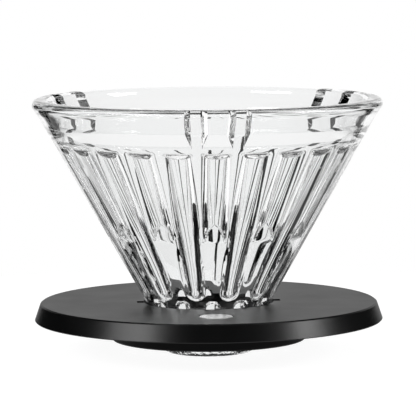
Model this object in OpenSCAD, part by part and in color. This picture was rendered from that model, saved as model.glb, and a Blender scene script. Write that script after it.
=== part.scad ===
// Pour-over coffee dripper: a ribbed glass cone that twists into a round base plate.
// Lengths in millimetres. Z is up and is the axis of the cone. The floor is at z = 0,
// under the glass outlet, and the badge on the plate faces -Y.

/* [Glass cone] */

// Outside diameter of the glass at its rim
rim_d = 118; // [100:1:130]

// Height from the bottom of the outlet to the top of the rim
glass_h = 86; // [76:0.5:96]

// Half angle of the cone, from the vertical
cone_angle = 29.5; // [27:0.5:31]

// Thickness of the glass between the ribs, square to the wall
wall = 2.8; // [2.2:0.1:3.2]

// Thickness that the band inside the rim adds to the wall
band_extra = 2.1; // [1:0.1:2.5]

// Height of the band inside the rim, down to where its bevel ends
band_h = 12.5; // [10:0.5:20]

// Height of the bevel at the band's lower edge
band_bevel = 5.4; // [3:0.2:8]

// Radius of the rounded lip
lip_r = 2; // [1:0.1:2.2]

// Outside diameter of the outlet
foot_d = 31; // [28:0.5:34]

// Diameter and length of the straight outlet hole
outlet_d = 19; // [14:0.5:20]
outlet_h = 2.2; // [1.4:0.1:3]

// Height of the straight outside of the outlet
foot_h = 4.6; // [3.6:0.1:5.6]

/* [Ribs in the cone] */

// Number of ribs, every second one long
rib_count = 24; // [12:6:30]

// Plain stretch between the band and the ribs' upper ends
rib_gap = 1.9; // [1:0.1:6]

// Height of the short ribs' lower ends above the plate
short_rise = 24.2; // [16:0.2:32]

// Height of the long ribs' lower ends above the plate
long_rise = 3.4; // [1:0.2:8]

// Radius of a rib's round back at the top and at the bottom
rib_r_top = 6; // [4:0.1:6.4]
rib_r_low = 3; // [2:0.1:3.4]

// How far a rib stands off the wall at the top and at the bottom
rib_rise_top = 1.5; // [1:0.1:2]
rib_rise_low = 2.2; // [1:0.1:2.4]

// Width of the bosses between the long ribs' feet, and their height above the plate
boss_w = 4.1; // [3:0.1:5]
boss_rise = 2.7; // [1.6:0.1:3.4]

/* [Base plate] */

// How far the plate's lower edge stays inside the glass rim
plate_inset = 0.1; // [0:0.1:6]

// How far the sloping edge leans out from top to bottom
edge_lean = 2.05; // [0.5:0.05:4]

// Height of the plate's top face above the floor
plate_z = 17; // [16:0.5:19]

// Height of the sloping edge
plate_h = 6; // [5:0.25:7]

// Thickness of the plate
plate_t = 2.6; // [2:0.1:3]

// Thickness of the sloping edge
skirt_t = 2.2; // [1.6:0.1:3]

/* [Locating ring] */

// Room between the notches and the collar that carries the ring
ring_room = 4; // [2:0.1:8]

// Height of the ring's lower edge above the floor
ring_z = 4.4; // [3.6:0.1:5.2]

// Wall of the ring
ring_wall = 2.4; // [1.6:0.1:3]

/* [Twist lock] */

// Width of the two glass lugs, and how far they stand out of the neck
lug_w = 3.2; // [2.4:0.1:4.5]
lug_len = 5.2; // [4.4:0.1:6]

// Turn from set down to locked
lock_turn = 60; // [30:5:80]

/* [Badge] */

// Diameter of the bare metal disc set into the plate
badge_d = 11.3; // [8:0.1:14]

// Distance of the badge's middle from the edge of the plate's flat top
badge_in = 18.65; // [10:0.05:24]

/* [Clearances] */

// Round faces that turn or lift against each other
run_gap = 0.2; // [0.1:0.05:0.4]

// Pieces that are pressed or laid into each other
set_gap = 0.15; // [0.1:0.05:0.3]

/* [Hidden] */

$fn = 96;
eps = 0.01;

rim_r = rim_d / 2;
foot_r = foot_d / 2;
outlet_r = outlet_d / 2;
slope = tan(cone_angle);

// The widest part of the rim is one lip radius below its top.
rim_z = glass_h - lip_r;
wall_x = wall / cos(cone_angle);
band_x = band_extra / cos(cone_angle);
band_low_z = glass_h - band_h;
band_full_z = band_low_z + band_bevel;
rib_top_z = band_low_z - rib_gap;
short_end_z = plate_z + short_rise;
long_end_z = plate_z + long_rise;
throat_z = plate_z - 2.4;
boss_top_z = plate_z + boss_rise;

function outer_r(z) = rim_r + (z - rim_z) * slope;
function inner_r(z) = outer_r(z) - wall_x;
function outer_z(r) = rim_z + (r - rim_r) / slope;

// Straight inner faces of the bosses
boss_r = inner_r(throat_z) + 0.5;

// Directions in the plane of a section: up along the wall, and off the wall to the axis.
along = [sin(cone_angle), cos(cone_angle)];
off = [-cos(cone_angle), sin(cone_angle)];

// Plate, seat and lugs
plate_low_r = rim_r - plate_inset;
plate_top_r = plate_low_r - edge_lean;
plate_under_z = plate_z - plate_t;
plate_low_z = plate_z - plate_h;
seat_step = 1.4;
seat_z = plate_z - seat_step;
seal_r = outer_r(plate_z) + 0.8;
seat_r = seal_r + set_gap;
hole_r = outer_r(seat_z) + run_gap + 0.1;
neck_r = outer_r(plate_z) - 2.7;
neck_low_z = foot_h + 3.4;
lug_reach = neck_r + lug_len;
lug_t = 3;
lug_drop = 0.5;
lug_top_z = plate_under_z - lug_drop;
notch_w = lug_w + 0.8;
notch_r = lug_reach + 0.7;

// Locating ring on the plate's collar
collar_t = 2.2;
collar_r = notch_r + ring_room + collar_t;
ring_r = collar_r + set_gap + ring_wall;
flange_t = 2.2;
flange_r = notch_r + 1.7;
collar_z = ring_z + flange_t + 0.2;
ring_top_z = plate_under_z + 0.4;
ring_bevel = 0.8;
bead_z = (collar_z + plate_under_z) / 2;

// Badge in its pocket
badge_y = plate_top_r - badge_in;
badge_r = badge_d / 2;
badge_t = 0.8;
pad_t = 0.2;
pocket_r = badge_r + set_gap;
pocket_z = plate_z - badge_t - pad_t;

// Plain wall of the cone, its lip, neck and outlet
module glass_wall() {
    rotate_extrude() {
        polygon([
            [outlet_r, 0.4], [outlet_r + 0.4, 0], [foot_r - 0.8, 0], [foot_r, 0.8],
            [foot_r, foot_h], [neck_r, neck_low_z], [neck_r, outer_z(neck_r)],
            [rim_r, rim_z], [rim_r - lip_r, rim_z + lip_r],
            [inner_r(rim_z) + 0.7, rim_z + lip_r], [inner_r(rim_z), rim_z],
            [inner_r(throat_z), throat_z], [outlet_r, outlet_h]
        ]);
        translate([rim_r - lip_r, rim_z]) circle(r = lip_r);
    }
}

// Band that thickens the wall inside the rim
module rim_band() {
    inside = inner_r(rim_z) - band_x;
    rotate_extrude() {
        polygon([
            [inner_r(band_low_z) + 1, band_low_z], [inner_r(rim_z) + 1, rim_z],
            [inner_r(rim_z) + 1, rim_z + lip_r], [inside + lip_r, rim_z + lip_r],
            [inside, rim_z], [inner_r(band_full_z) - band_x, band_full_z],
            [inner_r(band_low_z), band_low_z]
        ]);
        translate([inside + lip_r, rim_z]) circle(r = lip_r);
    }
}

// One groove with sloping sides down through the band
module band_groove() {
    floor_w = 3.3;
    deep = band_extra + 3;
    start = [inner_r(band_low_z - 3), band_low_z - 3];
    translate([start[0], 0, start[1]])
    rotate([0, cone_angle, 0])
    linear_extrude(height = band_h + 16)
    polygon([
        [0.5, -floor_w / 2], [0, -floor_w / 2], [-deep, -floor_w / 2 - deep],
        [-deep, floor_w / 2 + deep], [0, floor_w / 2], [0.5, floor_w / 2]
    ]);
}

// Round back of one rib, partly inside the wall, with its nose at the lower end
module rib_body(low_z) {
    part = (rib_top_z - low_z) / (rib_top_z - long_end_z);
    r_low = rib_r_top + (rib_r_low - rib_r_top) * part;
    rise_low = rib_rise_top + (rib_rise_low - rib_rise_top) * part;
    nose_z = low_z + 0.75 * r_low * along[1];
    low = [inner_r(nose_z), nose_z] - off * (r_low - rise_low);
    top = [inner_r(rib_top_z), rib_top_z] - off * (rib_r_top - rib_rise_top) + along;
    run = top - low;
    lean = atan2(run[0], run[1]);
    translate([low[0], 0, low[1]]) {
        rotate([0, lean, 0]) cylinder(h = norm(run), r1 = r_low, r2 = rib_r_top);
        sphere(r = r_low);
    }
}

// Space that the long ribs may fill: from just inside the wall, under the bevel on top
module long_space() {
    top = [inner_r(rib_top_z), rib_top_z];
    bevel = top + 5 * (off - along) / sqrt(2);
    rotate_extrude() polygon([
        [inner_r(throat_z) + 1, throat_z], top + [1, 0], top, bevel, [inner_r(throat_z) - 5, throat_z]
    ]);
}

// Space that the short ribs may fill, with a long bevel at their lower ends
module short_space() {
    top = [inner_r(rib_top_z), rib_top_z];
    bevel = top + 5 * (off - along) / sqrt(2);
    low = [inner_r(short_end_z), short_end_z];
    tail = low + along * 12 + off * 5;
    rotate_extrude() polygon([low + [1, 0], top + [1, 0], top, bevel, tail, low]);
}

module ribs() {
    pitch = 360 / rib_count;
    intersection() {
        long_space();
        for (i = [1 : 2 : rib_count - 1]) rotate([0, 0, -90 + i * pitch]) rib_body(long_end_z);
    }
    intersection() {
        short_space();
        for (i = [0 : 2 : rib_count - 1]) rotate([0, 0, -90 + i * pitch]) rib_body(short_end_z);
    }
}

// Space that the bosses may fill: from just inside the wall to their straight inner faces
module boss_space() {
    rotate_extrude() polygon([
        [boss_r, throat_z], [inner_r(throat_z) + 1, throat_z],
        [inner_r(boss_top_z + 1) + 1, boss_top_z + 1], [boss_r, boss_top_z + 1]
    ]);
}

// Small round bosses at the feet of the hollows between the long ribs
module bosses() {
    pitch = 360 / rib_count;
    deep = inner_r(boss_top_z) + 2 - boss_r;
    intersection() {
        boss_space();
        for (i = [0 : 2 : rib_count - 1])
            rotate([0, 0, -90 + i * pitch])
            translate([boss_r - 1, 0, boss_top_z - boss_w / 2])
            rotate([0, 90, 0]) cylinder(h = deep, d = boss_w);
    }
}

// Two lugs on the neck that pass the plate's notches and turn under its edge
module lugs() {
    intersection() {
        translate([-lug_reach - 2, -lug_w / 2, lug_top_z - lug_t])
            cube([2 * lug_reach + 4, lug_w, lug_t]);
        difference() {
            cylinder(h = glass_h, r = lug_reach);
            translate([0, 0, -1]) cylinder(h = glass_h + 2, r = neck_r - 1);
        }
    }
}

// Borosilicate glass cone
module glass_cone() {
    color([0.86, 0.92, 0.93, 0.4])
    union() {
        glass_wall();
        difference() {
            rim_band();
            for (third = [0, 120, 240], side = [-1, 1])
                rotate([0, 0, -90 + third + side * 180 / rib_count]) band_groove();
        }
        ribs();
        bosses();
        lugs();
    }
}

// Soft ring under the cone, laid in the step of the plate's hole
module seat_seal() {
    low_r = outer_r(seat_z) + run_gap;
    top_z = plate_z - 0.05;
    color([0.08, 0.08, 0.08])
    rotate_extrude()
    polygon([[low_r, seat_z], [seal_r, seat_z], [seal_r, top_z], [outer_r(top_z) + run_gap, top_z]]);
}

// One wall under the plate that stops a lug
module lug_stop() {
    in_r = hole_r + 0.4;
    out_r = collar_r - collar_t + 0.5;
    translate([in_r, -1, lug_top_z - lug_t]) cube([out_r - in_r, 2, lug_t + lug_drop + 0.5]);
}

// Moulded plate with its sloping edge, seat, collar and lock
module base_plate() {
    lean = edge_lean / plate_h;
    inner_top_r = plate_top_r + lean * plate_t - skirt_t;
    lug_half = asin(lug_w / 2 / (hole_r + 1));
    stop_half = asin(1 / (hole_r + 1));
    color([0.1, 0.1, 0.1])
    difference() {
        union() {
            rotate_extrude() {
                polygon([
                    [hole_r, plate_under_z], [hole_r, seat_z], [seat_r, seat_z], [seat_r, plate_z],
                    [plate_top_r - 0.4, plate_z], [plate_top_r + 0.4 * lean, plate_z - 0.4],
                    [plate_low_r - 0.3 * lean, plate_low_z + 0.3], [plate_low_r - 0.4, plate_low_z],
                    [plate_low_r - skirt_t, plate_low_z], [inner_top_r, plate_under_z],
                    [ring_r + set_gap, plate_under_z], [ring_r + set_gap, ring_top_z],
                    [collar_r, ring_top_z], [collar_r, collar_z],
                    [collar_r - collar_t, collar_z], [collar_r - collar_t, plate_under_z]
                ]);
                translate([collar_r - 0.2, bead_z]) circle(r = 0.5);
            }
            for (half = [0, 180]) {
                rotate([0, 0, half + lug_half + stop_half + 0.9]) lug_stop();
                rotate([0, 0, half - lock_turn - lug_half - stop_half - 0.9]) lug_stop();
            }
        }
        translate([-notch_r, -notch_w / 2, plate_under_z - eps])
            cube([2 * notch_r, notch_w, plate_t + 1]);
        translate([0, -badge_y, pocket_z]) cylinder(h = badge_t + pad_t + 1, r = pocket_r);
    }
}

// Ring under the plate, snapped over the collar
module locating_ring() {
    color([0.09, 0.09, 0.09])
    difference() {
        rotate_extrude()
        polygon([
            [flange_r, ring_z], [ring_r - 0.5, ring_z], [ring_r, ring_z + 0.5],
            [ring_r, plate_under_z - ring_bevel + 0.2], [ring_r - ring_bevel, plate_under_z + 0.2],
            [ring_r - ring_bevel, ring_top_z],
            [ring_r - ring_wall, ring_top_z], [ring_r - ring_wall, ring_z + flange_t],
            [flange_r, ring_z + flange_t]
        ]);
        rotate_extrude() translate([collar_r - 0.2, bead_z]) circle(r = 0.5 + set_gap);
    }
}

// Bare metal disc with a turned edge
module badge_disc() {
    color([0.82, 0.83, 0.84])
    translate([0, -badge_y, pocket_z + pad_t])
    rotate_extrude()
    polygon([[0, 0], [badge_r, 0], [badge_r, badge_t - 0.2], [badge_r - 0.2, badge_t], [0, badge_t]]);
}

// Adhesive pad under the badge
module badge_pad() {
    color([0.3, 0.3, 0.28])
    translate([0, -badge_y, pocket_z]) cylinder(h = pad_t, r = badge_r - 0.25);
}

glass_cone();
seat_seal();
base_plate();
locating_ring();
badge_disc();
badge_pad();
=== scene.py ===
import math
import bpy
import numpy as np
from mathutils import Matrix, Vector


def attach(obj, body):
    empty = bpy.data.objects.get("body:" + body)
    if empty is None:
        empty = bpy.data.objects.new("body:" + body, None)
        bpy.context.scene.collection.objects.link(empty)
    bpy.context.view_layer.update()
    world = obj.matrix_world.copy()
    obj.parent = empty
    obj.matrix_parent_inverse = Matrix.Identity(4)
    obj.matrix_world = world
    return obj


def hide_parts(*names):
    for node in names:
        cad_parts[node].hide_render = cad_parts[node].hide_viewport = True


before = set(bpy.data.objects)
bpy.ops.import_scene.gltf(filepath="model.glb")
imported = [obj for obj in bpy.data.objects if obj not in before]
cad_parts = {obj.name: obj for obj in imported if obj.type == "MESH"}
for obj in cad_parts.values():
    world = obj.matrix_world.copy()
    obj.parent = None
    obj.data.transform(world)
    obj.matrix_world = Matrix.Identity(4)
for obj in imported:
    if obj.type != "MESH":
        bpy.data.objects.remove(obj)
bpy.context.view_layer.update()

mm = 0.001
scene = bpy.context.scene
scene.view_settings.view_transform = "Standard"
scene.cycles.max_bounces = 32            # light runs a long way inside thick glass
scene.cycles.glossy_bounces = 14
scene.cycles.transmission_bounces = 32


# Camera

cameraSet = {
    "azimuth": math.radians(-3.6),
    "distance": 1098.9 * mm,             # from the axis, along the floor
    "height": 164.7 * mm,
    "lookDown": math.radians(6.03),
    "roll": math.radians(-0.41),
    "lens": 283.3, "sensor": 36.0, "clip": 0.01,
}


def makeCamera(s):
    data = bpy.data.cameras.new("photoCamera")
    data.sensor_width = s["sensor"]
    data.lens = s["lens"]
    data.clip_start = s["clip"]
    cam = bpy.data.objects.new("photoCamera", data)
    scene.collection.objects.link(cam)
    place = Matrix.Translation((
        s["distance"] * math.sin(s["azimuth"]),
        -s["distance"] * math.cos(s["azimuth"]),
        s["height"],
    ))
    turn = Matrix.Rotation(s["azimuth"], 4, "Z")
    tilt = Matrix.Rotation(math.pi / 2 - s["lookDown"], 4, "X")
    roll = Matrix.Rotation(s["roll"], 4, "Z")
    cam.matrix_world = place @ turn @ tilt @ roll
    scene.camera = cam


makeCamera(cameraSet)
print("camera set")


# Small helpers for node trees and meshes

def addNode(tree, kind, inputs=None, **values):
    node = tree.nodes.new(kind)
    for key, value in values.items():
        setattr(node, key, value)
    for key, value in (inputs or {}).items():
        node.inputs[key].default_value = value
    return node


def mathOf(tree, operation, a, b):
    node = addNode(tree, "ShaderNodeMath", operation=operation)
    tree.links.new(a, node.inputs[0])
    tree.links.new(b, node.inputs[1])
    return node.outputs[0]


def newMaterial(name):
    material = bpy.data.materials.new(name)
    material.use_nodes = True
    material.node_tree.nodes.clear()
    return material, material.node_tree


def finishMaterial(tree, shader):
    out = addNode(tree, "ShaderNodeOutputMaterial")
    tree.links.new(shader, out.inputs["Surface"])


def meshObject(name, verts, faces):
    mesh = bpy.data.meshes.new(name)
    mesh.from_pydata(verts, [], faces)
    mesh.update()
    piece = bpy.data.objects.new(name, mesh)
    scene.collection.objects.link(piece)
    return piece


# Fine grain that the moulded and soft pieces share: roughness and height from two sizes of noise

grainSet = {
    "fineDetail": 3.0, "wideScale": 60.0, "wideDetail": 4.0,
    "fineShare": 0.35,                   # of the fine noise, on top of the wide one
    "from": 0.35, "to": 1.0,             # sum of both that goes from low to high roughness
    "patchFrom": 0.3, "patchTo": 0.7,    # wide noise that goes from the dark to the light colour
    "height": 0.04 * mm,
}


def makeGrainGroup(s):
    group = bpy.data.node_groups.new("fineGrain", "ShaderNodeTree")
    face = group.interface
    for name in ("Scale", "Rough Low", "Rough High"):
        face.new_socket(name, in_out="INPUT", socket_type="NodeSocketFloat")
    for name in ("Roughness", "Height", "Patch"):
        face.new_socket(name, in_out="OUTPUT", socket_type="NodeSocketFloat")
    into = addNode(group, "NodeGroupInput")
    out = addNode(group, "NodeGroupOutput")
    coords = addNode(group, "ShaderNodeTexCoord")
    fine = addNode(group, "ShaderNodeTexNoise", {"Detail": s["fineDetail"]})
    wide = addNode(group, "ShaderNodeTexNoise", {"Scale": s["wideScale"], "Detail": s["wideDetail"]})
    blend = addNode(group, "ShaderNodeMath", {1: s["fineShare"]}, operation="MULTIPLY_ADD")
    spread = addNode(group, "ShaderNodeMapRange", {"From Min": s["from"], "From Max": s["to"]})
    link = group.links.new
    link(coords.outputs["Object"], fine.inputs["Vector"])
    link(coords.outputs["Object"], wide.inputs["Vector"])
    link(into.outputs["Scale"], fine.inputs["Scale"])
    link(fine.outputs["Fac"], blend.inputs[0])
    link(wide.outputs["Fac"], blend.inputs[2])
    link(blend.outputs[0], spread.inputs["Value"])
    link(into.outputs["Rough Low"], spread.inputs["To Min"])
    link(into.outputs["Rough High"], spread.inputs["To Max"])
    link(spread.outputs["Result"], out.inputs["Roughness"])
    link(fine.outputs["Fac"], out.inputs["Height"])
    link(wide.outputs["Fac"], out.inputs["Patch"])
    return group


grainGroup = makeGrainGroup(grainSet)


def makeGrained(name, s, g):
    material, tree = newMaterial(name)
    link = tree.links.new
    grain = addNode(tree, "ShaderNodeGroup", node_tree=grainGroup)
    grain.inputs["Scale"].default_value = s["grainScale"]
    grain.inputs["Rough Low"].default_value = s["roughLow"]
    grain.inputs["Rough High"].default_value = s["roughHigh"]
    tone = addNode(tree, "ShaderNodeMapRange", {"From Min": g["patchFrom"], "From Max": g["patchTo"]})
    colour = addNode(tree, "ShaderNodeMix", data_type="RGBA")
    colour.inputs[6].default_value = (*s["dark"], 1.0)
    colour.inputs[7].default_value = (*s["light"], 1.0)
    bump = addNode(tree, "ShaderNodeBump", {"Strength": s["bump"], "Distance": g["height"]})
    shader = addNode(tree, "ShaderNodeBsdfPrincipled", {"Specular IOR Level": s["specular"]})
    link(grain.outputs["Patch"], tone.inputs["Value"])
    link(tone.outputs["Result"], colour.inputs[0])
    link(colour.outputs[2], shader.inputs["Base Color"])
    link(grain.outputs["Roughness"], shader.inputs["Roughness"])
    link(grain.outputs["Height"], bump.inputs["Height"])
    link(bump.outputs["Normal"], shader.inputs["Normal"])
    finishMaterial(tree, shader.outputs["BSDF"])
    return material


# Base plate, ring, seal and pad keep their solids and get their finishes

plateFinish = {
    "dark": (0.003, 0.003, 0.0032), "light": (0.005, 0.005, 0.0052), "specular": 0.4,
    "roughLow": 0.28, "roughHigh": 0.36, "grainScale": 2600.0, "bump": 0.25,
}
ringFinish = {
    "dark": (0.003, 0.003, 0.0032), "light": (0.005, 0.005, 0.0052), "specular": 0.25,
    "roughLow": 0.42, "roughHigh": 0.56, "grainScale": 2600.0, "bump": 0.25,
}
sealFinish = {
    "dark": (0.012, 0.012, 0.012), "light": (0.018, 0.018, 0.018), "specular": 0.35,
    "roughLow": 0.6, "roughHigh": 0.75, "grainScale": 1400.0, "bump": 0.4,
}
padFinish = {
    "dark": (0.26, 0.26, 0.24), "light": (0.34, 0.34, 0.31), "specular": 0.3,
    "roughLow": 0.6, "roughHigh": 0.8, "grainScale": 900.0, "bump": 0.5,
}


def dress(nodeName, material):
    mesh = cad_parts[nodeName].data
    mesh.materials.clear()
    mesh.materials.append(material)


dress("base_plate", makeGrained("plateSatinBlack", plateFinish, grainSet))
dress("locating_ring", makeGrained("ringSatinBlack", ringFinish, grainSet))
dress("seat_seal", makeGrained("sealSilicone", sealFinish, grainSet))
dress("badge_pad", makeGrained("padAdhesive", padFinish, grainSet))
print("plate, ring, seal and pad dressed")


# Badge: pale satin metal, turned on a lathe, so fine rings run round its middle

badgeFinish = {
    "middle": (0.0, -38.2 * mm, 0.0),
    "ringScale": 2600.0 / 6.0, "distortion": 1.2, "detail": 3.0, "detailScale": 4.0,
    "dark": (0.95, 0.95, 0.95), "light": (0.99, 0.99, 0.985),
    "roughLow": 0.12, "roughHigh": 0.22,
    "metallic": 0.5,                     # half metal, so that it stays pale from every side
    "bump": 0.12, "height": 0.02 * mm,
}


def makeTurnedMetal(name, s):
    material, tree = newMaterial(name)
    link = tree.links.new
    coords = addNode(tree, "ShaderNodeTexCoord")
    shift = addNode(tree, "ShaderNodeMapping", {"Location": [-v for v in s["middle"]]})
    rings = addNode(tree, "ShaderNodeTexWave", wave_type="RINGS", rings_direction="Z")
    rings.inputs["Scale"].default_value = s["ringScale"]
    rings.inputs["Distortion"].default_value = s["distortion"]
    rings.inputs["Detail"].default_value = s["detail"]
    rings.inputs["Detail Scale"].default_value = s["detailScale"]
    rough = addNode(tree, "ShaderNodeMapRange", {"To Min": s["roughLow"], "To Max": s["roughHigh"]})
    colour = addNode(tree, "ShaderNodeMix", data_type="RGBA")
    colour.inputs[6].default_value = (*s["dark"], 1.0)
    colour.inputs[7].default_value = (*s["light"], 1.0)
    bump = addNode(tree, "ShaderNodeBump", {"Strength": s["bump"], "Distance": s["height"]})
    shader = addNode(tree, "ShaderNodeBsdfPrincipled", {"Metallic": s["metallic"]})
    link(coords.outputs["Object"], shift.inputs["Vector"])
    link(shift.outputs["Vector"], rings.inputs["Vector"])
    link(rings.outputs["Fac"], rough.inputs["Value"])
    link(rings.outputs["Fac"], colour.inputs[0])
    link(rings.outputs["Fac"], bump.inputs["Height"])
    link(colour.outputs[2], shader.inputs["Base Color"])
    link(rough.outputs["Result"], shader.inputs["Roughness"])
    link(bump.outputs["Normal"], shader.inputs["Normal"])
    finishMaterial(tree, shader.outputs["BSDF"])
    return material


dress("badge_disc", makeTurnedMetal("badgeTurnedMetal", badgeFinish))
print("badge dressed")


# Glass cone: two sectors of its skin and a lug, turned round the axis by Geometry Nodes.
# Sizes are in millimetres, and corners list how far out and up their points lie.

glassSet = {
    "angle": math.radians(29.5), "rimR": 59.0, "rimZ": 84.0, "lipR": 2.0,
    "wall": 2.8, "bandExtra": 2.1, "bandLowZ": 73.5, "bandFullZ": 78.9,
    "grooveHalf": 1.65, "grooveSide": 0.9, "grooveAt": math.radians(7.5), "grooveLean": 0.7,
    "ribTopZ": 71.6, "shortEndZ": 41.2, "longEndZ": 20.4, "throatZ": 14.6,
    "flank": math.radians(50.0), "topBevel": 0.7, "shortBevel": 0.42,
    "fillet": 0.22, "shoulder": 0.3, "tipNarrow": 0.35, "leastGap": math.radians(0.8),
    "ribHeights": (16.0, 20.0, 25.0, 32.0, 45.0, 56.0, 72.0),
    "ribHalfWidths": (2.4, 2.7, 3.2, 3.65, 3.9, 4.05, 4.15),
    "ribRises": (1.9, 2.1, 2.5, 2.8, 2.5, 2.1, 1.7),
    "ribCrests": (1.8, 1.9, 2.2, 2.7, 4.0, 7.0, 14.0),
    "bossR": 17.0, "bossHalf": 2.05, "bossTopZ": 19.7, "bossSide": 0.4,
    "neckR": 18.39, "neckLowZ": 8.0, "footR": 15.5, "footH": 4.6, "outletR": 9.5, "outletH": 2.2,
    "neckTopCorner": ((0.0, -0.25), (0.0, -2.0)),
    "neckLowCorner": ((0.0, 0.2), (-0.17, -0.2)),
    "footTopCorner": ((0.2, 0.25), (0.0, -0.1)),
    "footLowCorner": ((0.0, 2.4), (-0.06, 1.7), (-0.3, 1.0), (-0.75, 0.45), (-1.35, 0.12), (-2.0, 0.0)),
    "outletLowCorner": ((0.8, 0.0), (0.4, 0.0), (0.1, 0.12), (0.0, 0.5)),
    "outletTopCorner": ((0.0, -0.25), (0.2, 0.25), (2.0, 2.7)),
    "lugW": 3.2, "lugReach": 23.59, "lugLowZ": 10.9, "lugTopZ": 13.9, "lugSink": 0.4,
    "ribSectors": 12, "rimSectors": 3, "lugs": 2, "sharp": math.radians(28.0),
}

# Rows and columns of the skin: rows lie close together where the ribs begin and end

gridSet = {
    "columns": 48, "ribColumns": 10, "grooveColumns": (6, 10, 14, 18),
    "throatTo": -1.2, "throatRows": 18,
    "longFrom": -0.9, "longTo": 4.0, "longStep": 0.3,
    "middleFrom": 4.6, "middleTo": -1.0, "middleRows": 14,
    "shortFrom": -0.4, "shortTo": 8.2, "shortStep": 0.4,
    "upperFrom": 9.0, "upperTo": -4.0, "upperRows": 11,
    "topFrom": -3.4, "topTo": 0.1, "topStep": 0.3,
    "lastRow": 0.4, "seam": 0.9,         # above the ribs; the two sectors meet at the seam
    "evenAbove": 0.8, "evenBelow": 1.0,  # over this height the columns become evenly spaced
    "bandRows": 6, "lipRows": 9, "rimRows": 13, "wallRows": 16, "wallFromZ": 80.0,
    "lipFlat": 0.35, "lipEven": 0.6, "leastDepth": 0.02, "bowlRows": (0.4, 0.6, 0.8, 0.94, 1.0),
}


def outerR(s, z):
    return s["rimR"] + (z - s["rimZ"]) * math.tan(s["angle"])


def innerR(s, z):
    return outerR(s, z) - s["wall"] / math.cos(s["angle"])


# Rows of (angle, radius, height) in millimetres become a skin; angle 0 faces the front

def gridMesh(name, rows):
    verts = []
    faces = []
    wide = len(rows[0])
    for row in rows:
        for a, r, z in row:
            verts.append((r * math.sin(a) * mm, -r * math.cos(a) * mm, z * mm))
    for j in range(len(rows) - 1):
        for i in range(wide - 1):
            faces.append(((j + 1) * wide + i, (j + 1) * wide + i + 1, j * wide + i + 1, j * wide + i))
    return meshObject(name, verts, faces)


# Larger of a height and 0, with a small round where they meet

def softAbove(h, k):
    return 0.5 * (h + np.sqrt(h * h + k * k))


# Angles of the columns in half a rib sector, from the middle of a short rib to the middle of a long one

def ribAngles(s, g, z, shortW, longW, even):
    radius = innerR(s, z)
    half = math.pi / s["ribSectors"]
    longA = longW / radius
    shortA = min(shortW / radius, half - longA - s["leastGap"])
    n = g["columns"] // 2
    gaps = n - 2 * g["ribColumns"]
    across = np.linspace(0.0, 1.0, g["ribColumns"] + 1)
    gap = np.linspace(shortA, half - longA, gaps + 1)[1:-1]
    warped = np.concatenate([across * shortA, gap, half - (across * longA)[::-1]])
    plain = np.linspace(0.0, half, n + 1)
    return plain * even + warped * (1.0 - even)


# Height of a rib at a distance from its crest line: a rounded crest between two straight flanks

def ribHeight(s, away, rise, crest, width):
    side = (width - away) * math.tan(s["flank"])
    crown = rise - crest + np.sqrt(np.maximum(crest * crest - away * away, 0.0))
    return 0.5 * (crown + side - np.sqrt((crown - side) ** 2 + s["shoulder"] ** 2))


# Where the small round-topped bosses stand, at the foot of the hollows between the long ribs

def bossMask(s, away, z):
    up = max(0.0, z - (s["bossTopZ"] - s["bossHalf"]))
    return np.clip((s["bossHalf"] - np.hypot(away, up)) / s["bossSide"] + 1.0, 0.0, 1.0)


def ribRows(s, g):
    low = s["longEndZ"]
    short = s["shortEndZ"]
    top = s["ribTopZ"]
    rows = list(np.linspace(s["throatZ"], low + g["throatTo"], g["throatRows"]))
    rows += list(np.arange(low + g["longFrom"], low + g["longTo"], g["longStep"]))
    rows += list(np.linspace(low + g["middleFrom"], short + g["middleTo"], g["middleRows"]))
    rows += list(np.arange(short + g["shortFrom"], short + g["shortTo"], g["shortStep"]))
    rows += list(np.linspace(short + g["upperFrom"], top + g["upperTo"], g["upperRows"]))
    rows += list(np.arange(top + g["topFrom"], top + g["topTo"], g["topStep"]))
    return rows + [top + g["lastRow"], top + g["seam"]]


def ribSectorMesh(s, g):
    cosA = math.cos(s["angle"])
    sinA = math.sin(s["angle"])
    half = math.pi / s["ribSectors"]
    rows = ribRows(s, g)
    points = []
    for z in rows:
        rise = np.interp(z, s["ribHeights"], s["ribRises"])
        crest = np.interp(z, s["ribHeights"], s["ribCrests"])
        width = np.interp(z, s["ribHeights"], s["ribHalfWidths"])
        down = max(0.0, (s["longEndZ"] + width * cosA - z) / cosA)
        tip = math.sqrt(max(0.0, 1.0 - (down / width) ** 2))
        narrow = s["tipNarrow"] + (1.0 - s["tipNarrow"]) * tip
        even = 0.0
        if z > s["ribTopZ"]:
            even = min(1.0, (z - s["ribTopZ"]) / g["evenAbove"])
        if z < s["throatZ"] + g["evenBelow"]:
            even = (s["throatZ"] + g["evenBelow"] - z) / g["evenBelow"]
        angles = ribAngles(s, g, z, width, width * narrow, even)
        radius = innerR(s, z)
        topLimit = (s["ribTopZ"] - z) / cosA * s["topBevel"]
        lowLimit = (z - s["shortEndZ"]) / cosA * s["shortBevel"]
        shortRib = ribHeight(s, radius * angles, rise, crest, width)
        shortRib = np.minimum(shortRib, min(lowLimit, topLimit))
        longRib = ribHeight(s, np.hypot(radius * (half - angles), down), rise, crest, width)
        longRib = np.minimum(longRib, topLimit)
        height = softAbove(np.maximum(shortRib, longRib), s["fillet"])
        if z >= rows[-1] or z <= rows[0]:
            height = np.zeros_like(angles)
        rr = radius - cosA * height
        zz = z + sinA * height
        rr = rr + (np.minimum(s["bossR"], rr) - rr) * bossMask(s, radius * angles, z)
        row = list(zip(angles, rr, zz))
        row += [(2 * half - a, p, w) for a, p, w in row[-2::-1]]
        points.append(row)
    return gridMesh("ribSector", points)


# Angles of the columns in half a rim sector, with lines along the groove's edges where even is 0

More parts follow.
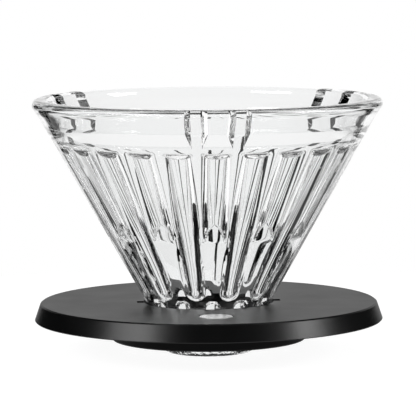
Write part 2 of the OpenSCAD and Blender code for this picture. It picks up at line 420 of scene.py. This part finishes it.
def rimAngles(s, g, radius, depth, even):
    half = math.pi / s["rimSectors"]
    n = g["columns"] * s["ribSectors"] // s["rimSectors"] // 2
    plain = np.linspace(0.0, half, n + 1)
    floorA = s["grooveHalf"] / radius
    sideA = (s["grooveHalf"] + depth * s["grooveSide"]) / radius
    at = s["grooveAt"]
    knots = [0, *g["grooveColumns"], n]
    stops = [0.0, at - sideA, at - floorA, at + floorA, at + sideA, half]
    return plain * even + np.interp(np.arange(n + 1), knots, stops) * (1.0 - even)


# Rows from the seam up over the band, the lip and down the outside to the outlet and the throat.
# Each has its point in a groove, its point beside the grooves or None, and how even its columns are.

def rimRows(s, g):
    bandX = s["bandExtra"] / math.cos(s["angle"])
    inside = innerR(s, s["rimZ"]) - bandX
    seamZ = s["ribTopZ"] + g["seam"]
    halfZ = (seamZ + s["bandLowZ"]) / 2
    rows = [((innerR(s, seamZ), seamZ), None, 1.0)]
    rows.append(((innerR(s, halfZ), halfZ), None, 0.5))
    for z in np.linspace(s["bandLowZ"], s["bandFullZ"], g["bandRows"]):
        part = (z - s["bandLowZ"]) / (s["bandFullZ"] - s["bandLowZ"])
        rows.append(((innerR(s, z), z), (innerR(s, z) - bandX * part, z), 0.0))
    for z in np.linspace(s["bandFullZ"], s["rimZ"], g["bandRows"])[1:]:
        rows.append(((innerR(s, z), z), (innerR(s, z) - bandX, z), 0.0))
    for turn in np.linspace(0.0, math.pi / 2, g["lipRows"])[1:]:
        part = math.sin(turn)
        z = s["rimZ"] + s["lipR"] * part
        floor = (innerR(s, s["rimZ"]) + s["grooveLean"] * part, z)
        rows.append((floor, (inside + s["lipR"] * (1.0 - math.cos(turn)), z), 0.0))
    centreR = s["rimR"] - s["lipR"]
    rows.append(((centreR - g["lipFlat"], s["rimZ"] + s["lipR"]), None, g["lipEven"]))
    for turn in np.linspace(math.pi / 2, -s["angle"], g["rimRows"]):
        r = centreR + s["lipR"] * math.cos(turn)
        rows.append(((r, s["rimZ"] + s["lipR"] * math.sin(turn)), None, 1.0))
    neckTopZ = s["rimZ"] + (s["neckR"] - s["rimR"]) / math.tan(s["angle"])
    for z in np.linspace(g["wallFromZ"], neckTopZ, g["wallRows"]):
        rows.append(((outerR(s, z), z), None, 1.0))
    corners = (
        (s["neckR"], neckTopZ, s["neckTopCorner"]), (s["neckR"], s["neckLowZ"], s["neckLowCorner"]),
        (s["footR"], s["footH"], s["footTopCorner"]), (s["footR"], 0.0, s["footLowCorner"]),
        (s["outletR"], 0.0, s["outletLowCorner"]), (s["outletR"], s["outletH"], s["outletTopCorner"]),
    )
    for r, z, steps in corners:
        rows += [((r + out, z + up), None, 1.0) for out, up in steps]
    throat = innerR(s, s["throatZ"])
    for part in g["bowlRows"]:
        r = s["outletR"] + (throat - s["outletR"]) * part
        z = s["outletH"] + (s["throatZ"] - s["outletH"]) * part
        rows.append(((r, z), None, 1.0))
    return rows


def rimSectorMesh(s, g):
    points = []
    for floor, full, even in rimRows(s, g):
        peak = full or floor
        depth = math.hypot(peak[0] - floor[0], peak[1] - floor[1])
        radius = floor[0]
        wide = max(depth, g["leastDepth"]) if full else s["bandExtra"]
        angles = rimAngles(s, g, radius, wide, even)
        off = radius * np.abs(angles - s["grooveAt"]) - s["grooveHalf"]
        part = np.clip(off / max(depth * s["grooveSide"], 1e-6), 0.0, 1.0)
        rr = floor[0] + (peak[0] - floor[0]) * part
        zz = floor[1] + (peak[1] - floor[1]) * part
        right = list(zip(angles, rr, zz))
        points.append([(-a, p, w) for a, p, w in right[:0:-1]] + right)
    return gridMesh("rimSector", points)


def lugMesh(s):
    lowR = s["neckR"] - s["lugSink"]
    verts = []
    for z in (s["lugLowZ"], s["lugTopZ"]):
        for x, y in ((lowR, -1), (s["lugReach"], -1), (s["lugReach"], 1), (lowR, 1)):
            verts.append((x * mm, y * s["lugW"] / 2 * mm, z * mm))
    faces = [(3, 2, 1, 0), (4, 5, 6, 7), (0, 1, 5, 4), (1, 2, 6, 5), (2, 3, 7, 6), (3, 0, 4, 7)]
    return meshObject("glassLug", verts, faces)


# Tree that turns the sectors and the lugs round the axis, closes the seams and melts the lugs in

def turnTree():
    tree = bpy.data.node_groups.new("turnSectors", "GeometryNodeTree")
    face = tree.interface
    face.new_socket("Geometry", in_out="INPUT", socket_type="NodeSocketGeometry")
    for name in ("Rib Sector", "Rim Sector", "Lug"):
        face.new_socket(name, in_out="INPUT", socket_type="NodeSocketObject")
    for name in ("Rib Sectors", "Rim Sectors", "Lugs"):
        face.new_socket(name, in_out="INPUT", socket_type="NodeSocketInt")
    face.new_socket("Merge Distance", in_out="INPUT", socket_type="NodeSocketFloat").default_value = 2e-6
    face.new_socket("Material", in_out="INPUT", socket_type="NodeSocketMaterial")
    face.new_socket("Geometry", in_out="OUTPUT", socket_type="NodeSocketGeometry")
    link = tree.links.new
    into = addNode(tree, "NodeGroupInput")
    out = addNode(tree, "NodeGroupOutput")
    join = addNode(tree, "GeometryNodeJoinGeometry")
    lugs = addNode(tree, "GeometryNodeRealizeInstances")
    for shape, count, goal in (
        ("Rib Sector", "Rib Sectors", join), ("Rim Sector", "Rim Sectors", join), ("Lug", "Lugs", lugs),
    ):
        info = addNode(tree, "GeometryNodeObjectInfo", transform_space="ORIGINAL")
        line = addNode(tree, "GeometryNodeMeshLine", {"Offset": (0.0, 0.0, 0.0)}, mode="OFFSET")
        index = addNode(tree, "GeometryNodeInputIndex")
        share = mathOf(tree, "DIVIDE", index.outputs[0], into.outputs[count])
        angle = addNode(tree, "ShaderNodeMath", {1: 2 * math.pi}, operation="MULTIPLY")
        turn = addNode(tree, "ShaderNodeCombineXYZ")
        place = addNode(tree, "GeometryNodeInstanceOnPoints")
        link(into.outputs[shape], info.inputs["Object"])
        link(into.outputs[count], line.inputs["Count"])
        link(share, angle.inputs[0])
        link(angle.outputs[0], turn.inputs["Z"])
        link(line.outputs["Mesh"], place.inputs["Points"])
        link(info.outputs["Geometry"], place.inputs["Instance"])
        link(turn.outputs["Vector"], place.inputs["Rotation"])
        link(place.outputs["Instances"], goal.inputs["Geometry"])
    real = addNode(tree, "GeometryNodeRealizeInstances")
    merge = addNode(tree, "GeometryNodeMergeByDistance")
    melt = addNode(tree, "GeometryNodeMeshBoolean", operation="UNION", solver="EXACT")
    smooth = addNode(tree, "GeometryNodeSetShadeSmooth")
    paint = addNode(tree, "GeometryNodeSetMaterial")
    link(join.outputs["Geometry"], real.inputs["Geometry"])
    link(real.outputs["Geometry"], merge.inputs["Geometry"])
    link(into.outputs["Merge Distance"], merge.inputs["Distance"])
    link(merge.outputs["Geometry"], melt.inputs[1])
    link(lugs.outputs["Geometry"], melt.inputs[1])
    link(melt.outputs["Mesh"], smooth.inputs["Geometry"])
    link(smooth.outputs["Geometry"], paint.inputs["Geometry"])
    link(into.outputs["Material"], paint.inputs["Material"])
    link(paint.outputs["Geometry"], out.inputs["Geometry"])
    return tree


def makeTurned(name, tree, values):
    host = bpy.data.objects.new(name + "Host", bpy.data.meshes.new(name + "Host"))
    scene.collection.objects.link(host)
    mod = host.modifiers.new("turn", "NODES")
    mod.node_group = tree
    for item in tree.interface.items_tree:
        if item.in_out == "INPUT" and item.name in values:
            mod[item.identifier] = values[item.name]
    graph = bpy.context.evaluated_depsgraph_get()
    mesh = bpy.data.meshes.new_from_object(host.evaluated_get(graph))
    mesh.name = name
    host.modifiers.clear()
    bpy.data.objects.remove(host)
    piece = bpy.data.objects.new(name, mesh)
    scene.collection.objects.link(piece)
    return piece


glassFinish = {
    "tint": (0.97, 0.975, 0.975), "ior": 1.49,
    "waveScale": 90.0, "waveDetail": 1.5, "waveHeight": 0.02 * mm, "waveBump": 0.5,
    "roughLow": 0.0, "roughHigh": 0.003,         # sharp enough to count as a clear mirror
    "footScale": 420.0, "footDetail": 2.0,       # ground edge round the outlet
    "footFrom": 2.6 * mm, "footTo": 1.2 * mm, "footWaves": 60.0,
}


# Height of the glass surface: its long soft waves, and the coarse ground edge round the outlet

def groundFoot(tree, place, waves, s):
    link = tree.links.new
    grit = addNode(tree, "ShaderNodeTexNoise", {"Scale": s["footScale"], "Detail": s["footDetail"]})
    split = addNode(tree, "ShaderNodeSeparateXYZ")
    mask = addNode(tree, "ShaderNodeMapRange", {"From Min": s["footTo"], "From Max": s["footFrom"]})
    mask.inputs["To Min"].default_value = s["footWaves"]
    mask.inputs["To Max"].default_value = 0.0
    both = addNode(tree, "ShaderNodeMath", operation="MULTIPLY_ADD")
    link(place, grit.inputs["Vector"])
    link(place, split.inputs[0])
    link(split.outputs["Z"], mask.inputs["Value"])
    link(grit.outputs["Fac"], both.inputs[0])
    link(mask.outputs["Result"], both.inputs[1])
    link(waves, both.inputs[2])
    return both.outputs[0]


def makeGlass(name, s):
    material, tree = newMaterial(name)
    link = tree.links.new
    coords = addNode(tree, "ShaderNodeTexCoord")
    wave = addNode(tree, "ShaderNodeTexNoise", {"Scale": s["waveScale"], "Detail": s["waveDetail"]})
    bump = addNode(tree, "ShaderNodeBump", {"Strength": s["waveBump"], "Distance": s["waveHeight"]})
    rough = addNode(tree, "ShaderNodeMapRange", {"To Min": s["roughLow"], "To Max": s["roughHigh"]})
    shader = addNode(tree, "ShaderNodeBsdfPrincipled", {"Transmission Weight": 1.0, "IOR": s["ior"]})
    shader.inputs["Base Color"].default_value = (*s["tint"], 1.0)
    link(coords.outputs["Object"], wave.inputs["Vector"])
    link(groundFoot(tree, coords.outputs["Object"], wave.outputs["Fac"], s), bump.inputs["Height"])
    link(wave.outputs["Fac"], rough.inputs["Value"])
    link(rough.outputs["Result"], shader.inputs["Roughness"])
    link(bump.outputs["Normal"], shader.inputs["Normal"])
    finishMaterial(tree, shader.outputs["BSDF"])
    return material


glassMaterial = makeGlass("clearGlass", glassFinish)
sectors = [ribSectorMesh(glassSet, gridSet), rimSectorMesh(glassSet, gridSet), lugMesh(glassSet)]
glassPiece = makeTurned("glass_cone_skin", turnTree(), {
    "Rib Sector": sectors[0], "Rim Sector": sectors[1], "Lug": sectors[2],
    "Rib Sectors": glassSet["ribSectors"], "Rim Sectors": glassSet["rimSectors"],
    "Lugs": glassSet["lugs"], "Material": glassMaterial,
})
for sector in sectors:
    bpy.data.objects.remove(sector)
glassPiece.data.set_sharp_from_angle(angle=glassSet["sharp"])
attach(glassPiece, "glass")
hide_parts("glass_cone")
print("glass made:", len(glassPiece.data.polygons), "faces")


# Floor: white where the camera or the glass sees it, dimmer in the satin pieces, with a soft shadow

floorSet = {"radius": 0.22, "corners": 128, "glow": 0.94, "paint": 0.25, "mirror": 0.35}


def seenFactor(tree, mirror):
    path = addNode(tree, "ShaderNodeLightPath")
    dim = addNode(tree, "ShaderNodeMath", {1: mirror}, operation="MULTIPLY")
    tree.links.new(path.outputs["Is Glossy Ray"], dim.inputs[0])
    seen = mathOf(tree, "MAXIMUM", path.outputs["Is Camera Ray"], dim.outputs[0])
    return mathOf(tree, "MAXIMUM", seen, path.outputs["Is Transmission Ray"])


def makeFloor(s):
    turns = [2 * math.pi * i / s["corners"] for i in range(s["corners"])]
    edge = [(s["radius"] * math.cos(a), s["radius"] * math.sin(a), 0.0) for a in turns]
    floor = meshObject("floor", edge, [tuple(range(s["corners"]))])
    material, tree = newMaterial("floorWhite")
    glow = addNode(tree, "ShaderNodeEmission")
    scale = addNode(tree, "ShaderNodeMath", {1: s["glow"]}, operation="MULTIPLY")
    paint = addNode(tree, "ShaderNodeBsdfDiffuse")
    paint.inputs["Color"].default_value = (s["paint"], s["paint"], s["paint"], 1.0)
    both = addNode(tree, "ShaderNodeAddShader")
    tree.links.new(seenFactor(tree, s["mirror"]), scale.inputs[0])
    tree.links.new(scale.outputs[0], glow.inputs["Strength"])
    tree.links.new(glow.outputs[0], both.inputs[0])
    tree.links.new(paint.outputs[0], both.inputs[1])
    finishMaterial(tree, both.outputs[0])
    floor.data.materials.append(material)


makeFloor(floorSet)


# World: white to the camera; the glass shows a bright backdrop, a table and the dark flags at the sides

worldSet = {
    "plain": 0.3,                                # light on matt surfaces
    "middle": -7.0,                              # of the bright backdrop, in degrees, below 0 to the right
    "wideFrom": 25.5, "wideTo": 24.5,            # its half width, in degrees
    "highFrom": 0.6, "highTo": 0.5,              # its upper edge, as the height of the direction
    "lowFrom": -0.5, "lowTo": -0.6,              # the table shows below this
    "farFrom": -0.2, "farTo": -0.24,             # the table as it shows straight through the glass
    "flagFrom": 78.0, "flagTo": 72.0,            # the dark flags end here, in degrees from that middle
    "overFrom": 0.8, "overTo": 0.85, "over": 0.3,    # soft light overhead, seen through the glass
    "mirror": 0.5,                               # backdrop in satin surfaces; clear glass has it whole
}


# Level that goes softly from one value to another as its input passes from low to high

def ramp(tree, value, low, high, atLow, atHigh):
    node = addNode(tree, "ShaderNodeMapRange", interpolation_type="SMOOTHSTEP")
    node.inputs["From Min"].default_value = low
    node.inputs["From Max"].default_value = high
    node.inputs["To Min"].default_value = atLow
    node.inputs["To Max"].default_value = atHigh
    tree.links.new(value, node.inputs["Value"])
    return node.outputs["Result"]


def cosDeg(angle):
    return math.cos(math.radians(angle))


def makeWorld(s):
    world = bpy.data.worlds.new("studio")
    world.use_nodes = True
    tree = world.node_tree
    tree.nodes.clear()
    link = tree.links.new
    path = addNode(tree, "ShaderNodeLightPath")
    coords = addNode(tree, "ShaderNodeTexCoord")
    split = addNode(tree, "ShaderNodeSeparateXYZ")
    flat = addNode(tree, "ShaderNodeVectorMath", {1: (1.0, 1.0, 0.0)}, operation="MULTIPLY")
    unit = addNode(tree, "ShaderNodeVectorMath", operation="NORMALIZE")
    turn = math.radians(s["middle"])
    toMiddle = (-math.sin(turn), math.cos(turn), 0.0)
    along = addNode(tree, "ShaderNodeVectorMath", {1: toMiddle}, operation="DOT_PRODUCT")
    link(coords.outputs["Generated"], split.inputs[0])
    link(coords.outputs["Generated"], flat.inputs[0])
    link(flat.outputs[0], unit.inputs[0])
    link(unit.outputs[0], along.inputs[0])
    up = split.outputs["Z"]
    back = along.outputs["Value"]
    wide = ramp(tree, back, cosDeg(s["wideFrom"]), cosDeg(s["wideTo"]), 0.0, 1.0)
    high = ramp(tree, up, s["highTo"], s["highFrom"], 1.0, 0.0)
    low = ramp(tree, up, s["lowTo"], s["lowFrom"], 1.0, 0.0)
    over = ramp(tree, up, s["overFrom"], s["overTo"], 0.0, s["over"])
    behind = mathOf(tree, "MAXIMUM", mathOf(tree, "MULTIPLY", wide, high), low)
    # Straight through the glass it is bright beyond the flags too, and through one wall all round
    flagless = ramp(tree, back, cosDeg(s["flagFrom"]), cosDeg(s["flagTo"]), 1.0, 0.0)
    oneWall = ramp(tree, path.outputs["Transmission Depth"], 2.0, 3.0, 1.0, 0.0)
    straight = ramp(tree, path.outputs["Glossy Depth"], 0.0, 1.0, 1.0, 0.0)
    far = ramp(tree, up, s["farTo"], s["farFrom"], 1.0, 0.0)
    around = mathOf(tree, "MULTIPLY", mathOf(tree, "MAXIMUM", flagless, oneWall), high)
    around = mathOf(tree, "MULTIPLY", mathOf(tree, "MAXIMUM", around, far), straight)
    through = mathOf(tree, "MAXIMUM", mathOf(tree, "MAXIMUM", behind, around), over)
    clear = ramp(tree, path.outputs["Is Singular Ray"], 0.0, 1.0, s["mirror"], 1.0)
    mirrored = mathOf(tree, "MULTIPLY", behind, clear)
    white = (1.0, 1.0, 1.0, 1.0)
    plain = addNode(tree, "ShaderNodeBackground", {"Color": white, "Strength": s["plain"]})
    shader = plain.outputs[0]
    for kind, seen in (
        ("Is Glossy Ray", mirrored), ("Is Transmission Ray", through), ("Is Camera Ray", None),
    ):
        light = addNode(tree, "ShaderNodeBackground", {"Color": white})
        mix = addNode(tree, "ShaderNodeMixShader")
        if seen:
            link(seen, light.inputs["Strength"])
        link(path.outputs[kind], mix.inputs[0])
        link(shader, mix.inputs[1])
        link(light.outputs[0], mix.inputs[2])
        shader = mix.outputs[0]
    out = addNode(tree, "ShaderNodeOutputWorld")
    link(shader, out.inputs["Surface"])
    scene.world = world


makeWorld(worldSet)


# Lamps: two soft boxes that light the plate and don't show through the glass

lampSet = {
    "left": {"place": (-0.81, -0.54, 0.5), "wide": 0.6, "high": 0.3, "watts": 4.2},
    "right": {"place": (0.9, -0.37, 0.5), "wide": 0.4, "high": 0.3, "watts": 4.0},
}
lampTarget = (0.0, 0.0, 0.04)


def makeLamp(name, s, target):
    data = bpy.data.lights.new(name, "AREA")
    data.shape = "RECTANGLE"
    data.size = s["wide"]
    data.size_y = s["high"]
    data.energy = s["watts"]
    lamp = bpy.data.objects.new(name, data)
    scene.collection.objects.link(lamp)
    aim = Vector(s["place"]) - Vector(target)
    lamp.visible_transmission = False
    lamp.matrix_world = Matrix.Translation(s["place"]) @ aim.to_track_quat("Z", "Y").to_matrix().to_4x4()


for lampName in lampSet:
    makeLamp(lampName + "Softbox", lampSet[lampName], lampTarget)
print("floor, world and lamps made")
